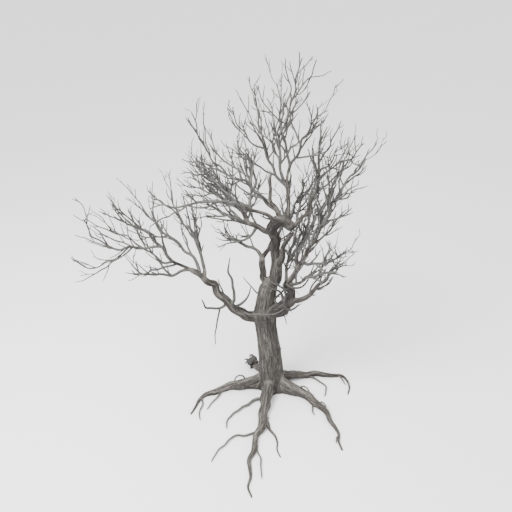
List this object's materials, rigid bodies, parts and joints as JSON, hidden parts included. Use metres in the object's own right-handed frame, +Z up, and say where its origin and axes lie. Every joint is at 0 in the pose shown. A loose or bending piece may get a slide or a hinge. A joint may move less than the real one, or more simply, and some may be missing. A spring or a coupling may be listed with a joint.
{
  "type": "dead tree",
  "caption": "Bare, leafless dead tree with a leaning furrowed trunk, spreading surface roots and a forked crown of gnarled boughs and fine upturned twigs.",
  "frame": {"origin": "on the ground, at the middle of the flat cut under the trunk", "axes": "+Z up, +X to the tree's right, -Y to its front"},
  "size_m": [6.4308, 5.5308, 8.7778],
  "materials": {
    "trunk_wood": "weathered, long vertical furrows",
    "root_wood": "weathered, lengthwise grain",
    "stem_wood": "weathered, gnarled, lengthwise grain",
    "bough_wood": "weathered, fine lengthwise grain"
  },
  "bodies": {
    "root": {"aft_bough": "bough_wood", "arch": "stem_wood", "crown_left": "bough_wood", "crown_left_mid": "bough_wood", "crown_left_rise": "bough_wood", "crown_left_up": "bough_wood", "drooper": "bough_wood", "fore_spray": "bough_wood", "gnarled": "bough_wood", "great_limb": "stem_wood", "horn": "stem_wood", "leader": "stem_wood", "left_far": "bough_wood", "left_far_low": "bough_wood", "left_low": "bough_wood", "left_mid": "bough_wood", "left_outer": "bough_wood", "left_rear": "bough_wood", "left_rise": "bough_wood", "left_rise_fork": "bough_wood", "left_stem": "stem_wood", "long_reach": "bough_wood", "low_neck": "stem_wood", "main_stem": "stem_wood", "rear_inner": "bough_wood", "rear_left": "bough_wood", "rear_left_hang": "bough_wood", "rear_left_low": "bough_wood", "rear_left_mid": "bough_wood", "rear_left_top": "bough_wood", "rear_right": "bough_wood", "right_front": "bough_wood", "right_great": "bough_wood", "right_inner": "bough_wood", "right_outer": "bough_wood", "right_reach": "bough_wood", "right_rear": "bough_wood", "right_rear_fork": "bough_wood", "right_rise": "bough_wood", "right_rise_fork": "bough_wood", "right_rise_out": "bough_wood", "right_stem": "stem_wood", "riser": "stem_wood", "root_far_right": "root_wood", "root_front": "root_wood", "root_front_fork": "root_wood", "root_left": "root_wood", "root_rear": "root_wood", "root_rear_left": "root_wood", "root_right": "root_wood", "snag": "bough_wood", "top": "bough_wood", "top_fork": "bough_wood", "top_left": "bough_wood", "top_left_fork": "bough_wood", "top_rear": "bough_wood", "top_rear_fork": "bough_wood", "top_right": "bough_wood", "top_right_fork": "bough_wood", "trunk": "trunk_wood"}
  },
  "joints": []
}
